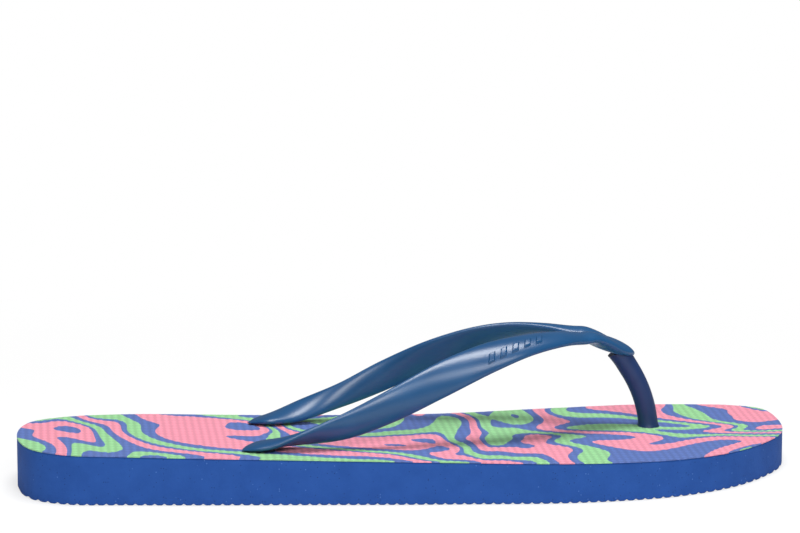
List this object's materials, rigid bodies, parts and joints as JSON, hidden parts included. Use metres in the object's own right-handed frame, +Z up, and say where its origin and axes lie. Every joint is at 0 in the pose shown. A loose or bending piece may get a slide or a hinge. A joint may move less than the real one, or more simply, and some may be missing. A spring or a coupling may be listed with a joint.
{
  "type": "thong sandal",
  "caption": "Flip-flop for a right foot: a foam wedge sole with a marbled footbed, a moulded strap whose arms meet over the toes, and a leaning toe post.",
  "frame": {"origin": "on the ground, under the middle of the sole's length and width", "axes": "+X from the heel to the toe, +Y towards the big toe, +Z up"},
  "size_m": [0.258, 0.0883, 0.0486],
  "materials": {
    "foam": "matt closed-cell EVA foam, cut sides with fine open pores",
    "print": "printed marbled film with a small embossed grain",
    "strap": "satin moulded PVC",
    "post": "satin moulded PVC, darker"
  },
  "bodies": {
    "rear": {"sole_back": "foam", "footbed_print_back": "print", "side_plug_outer": "strap", "side_plug_inner": "strap"},
    "forefoot": {"sole_front": "foam", "footbed_print_front": "print", "toe_plug": "post"},
    "strap": {"strap": "strap"},
    "post": {"toe_post": "post"}
  },
  "joints": [
    {"name": "sole_flex", "type": "hinge", "parent": "rear", "child": "forefoot", "pos_m": [0.039, 0, 0.01381], "axis": [0, -1, 0], "range_deg": [0, 30], "stiffness_Nm_per_rad": 0.6},
    {"name": "strap_lift", "type": "hinge", "parent": "rear", "child": "strap", "pos_m": [-0.0568, 0, 0.01574], "axis": [0, -1, 0], "range_deg": [0, 10]},
    {"name": "post_tilt", "type": "hinge", "parent": "forefoot", "child": "post", "pos_m": [0.08231, 0.01, 0.01664], "axis": [0, -1, 0], "range_deg": [-36, 0]}
  ],
  "couplings": [
    {"joint": "strap_lift", "follows": "sole_flex", "ratio": 0.328},
    {"joint": "post_tilt", "follows": "sole_flex", "ratio": -1.17}
  ]
}
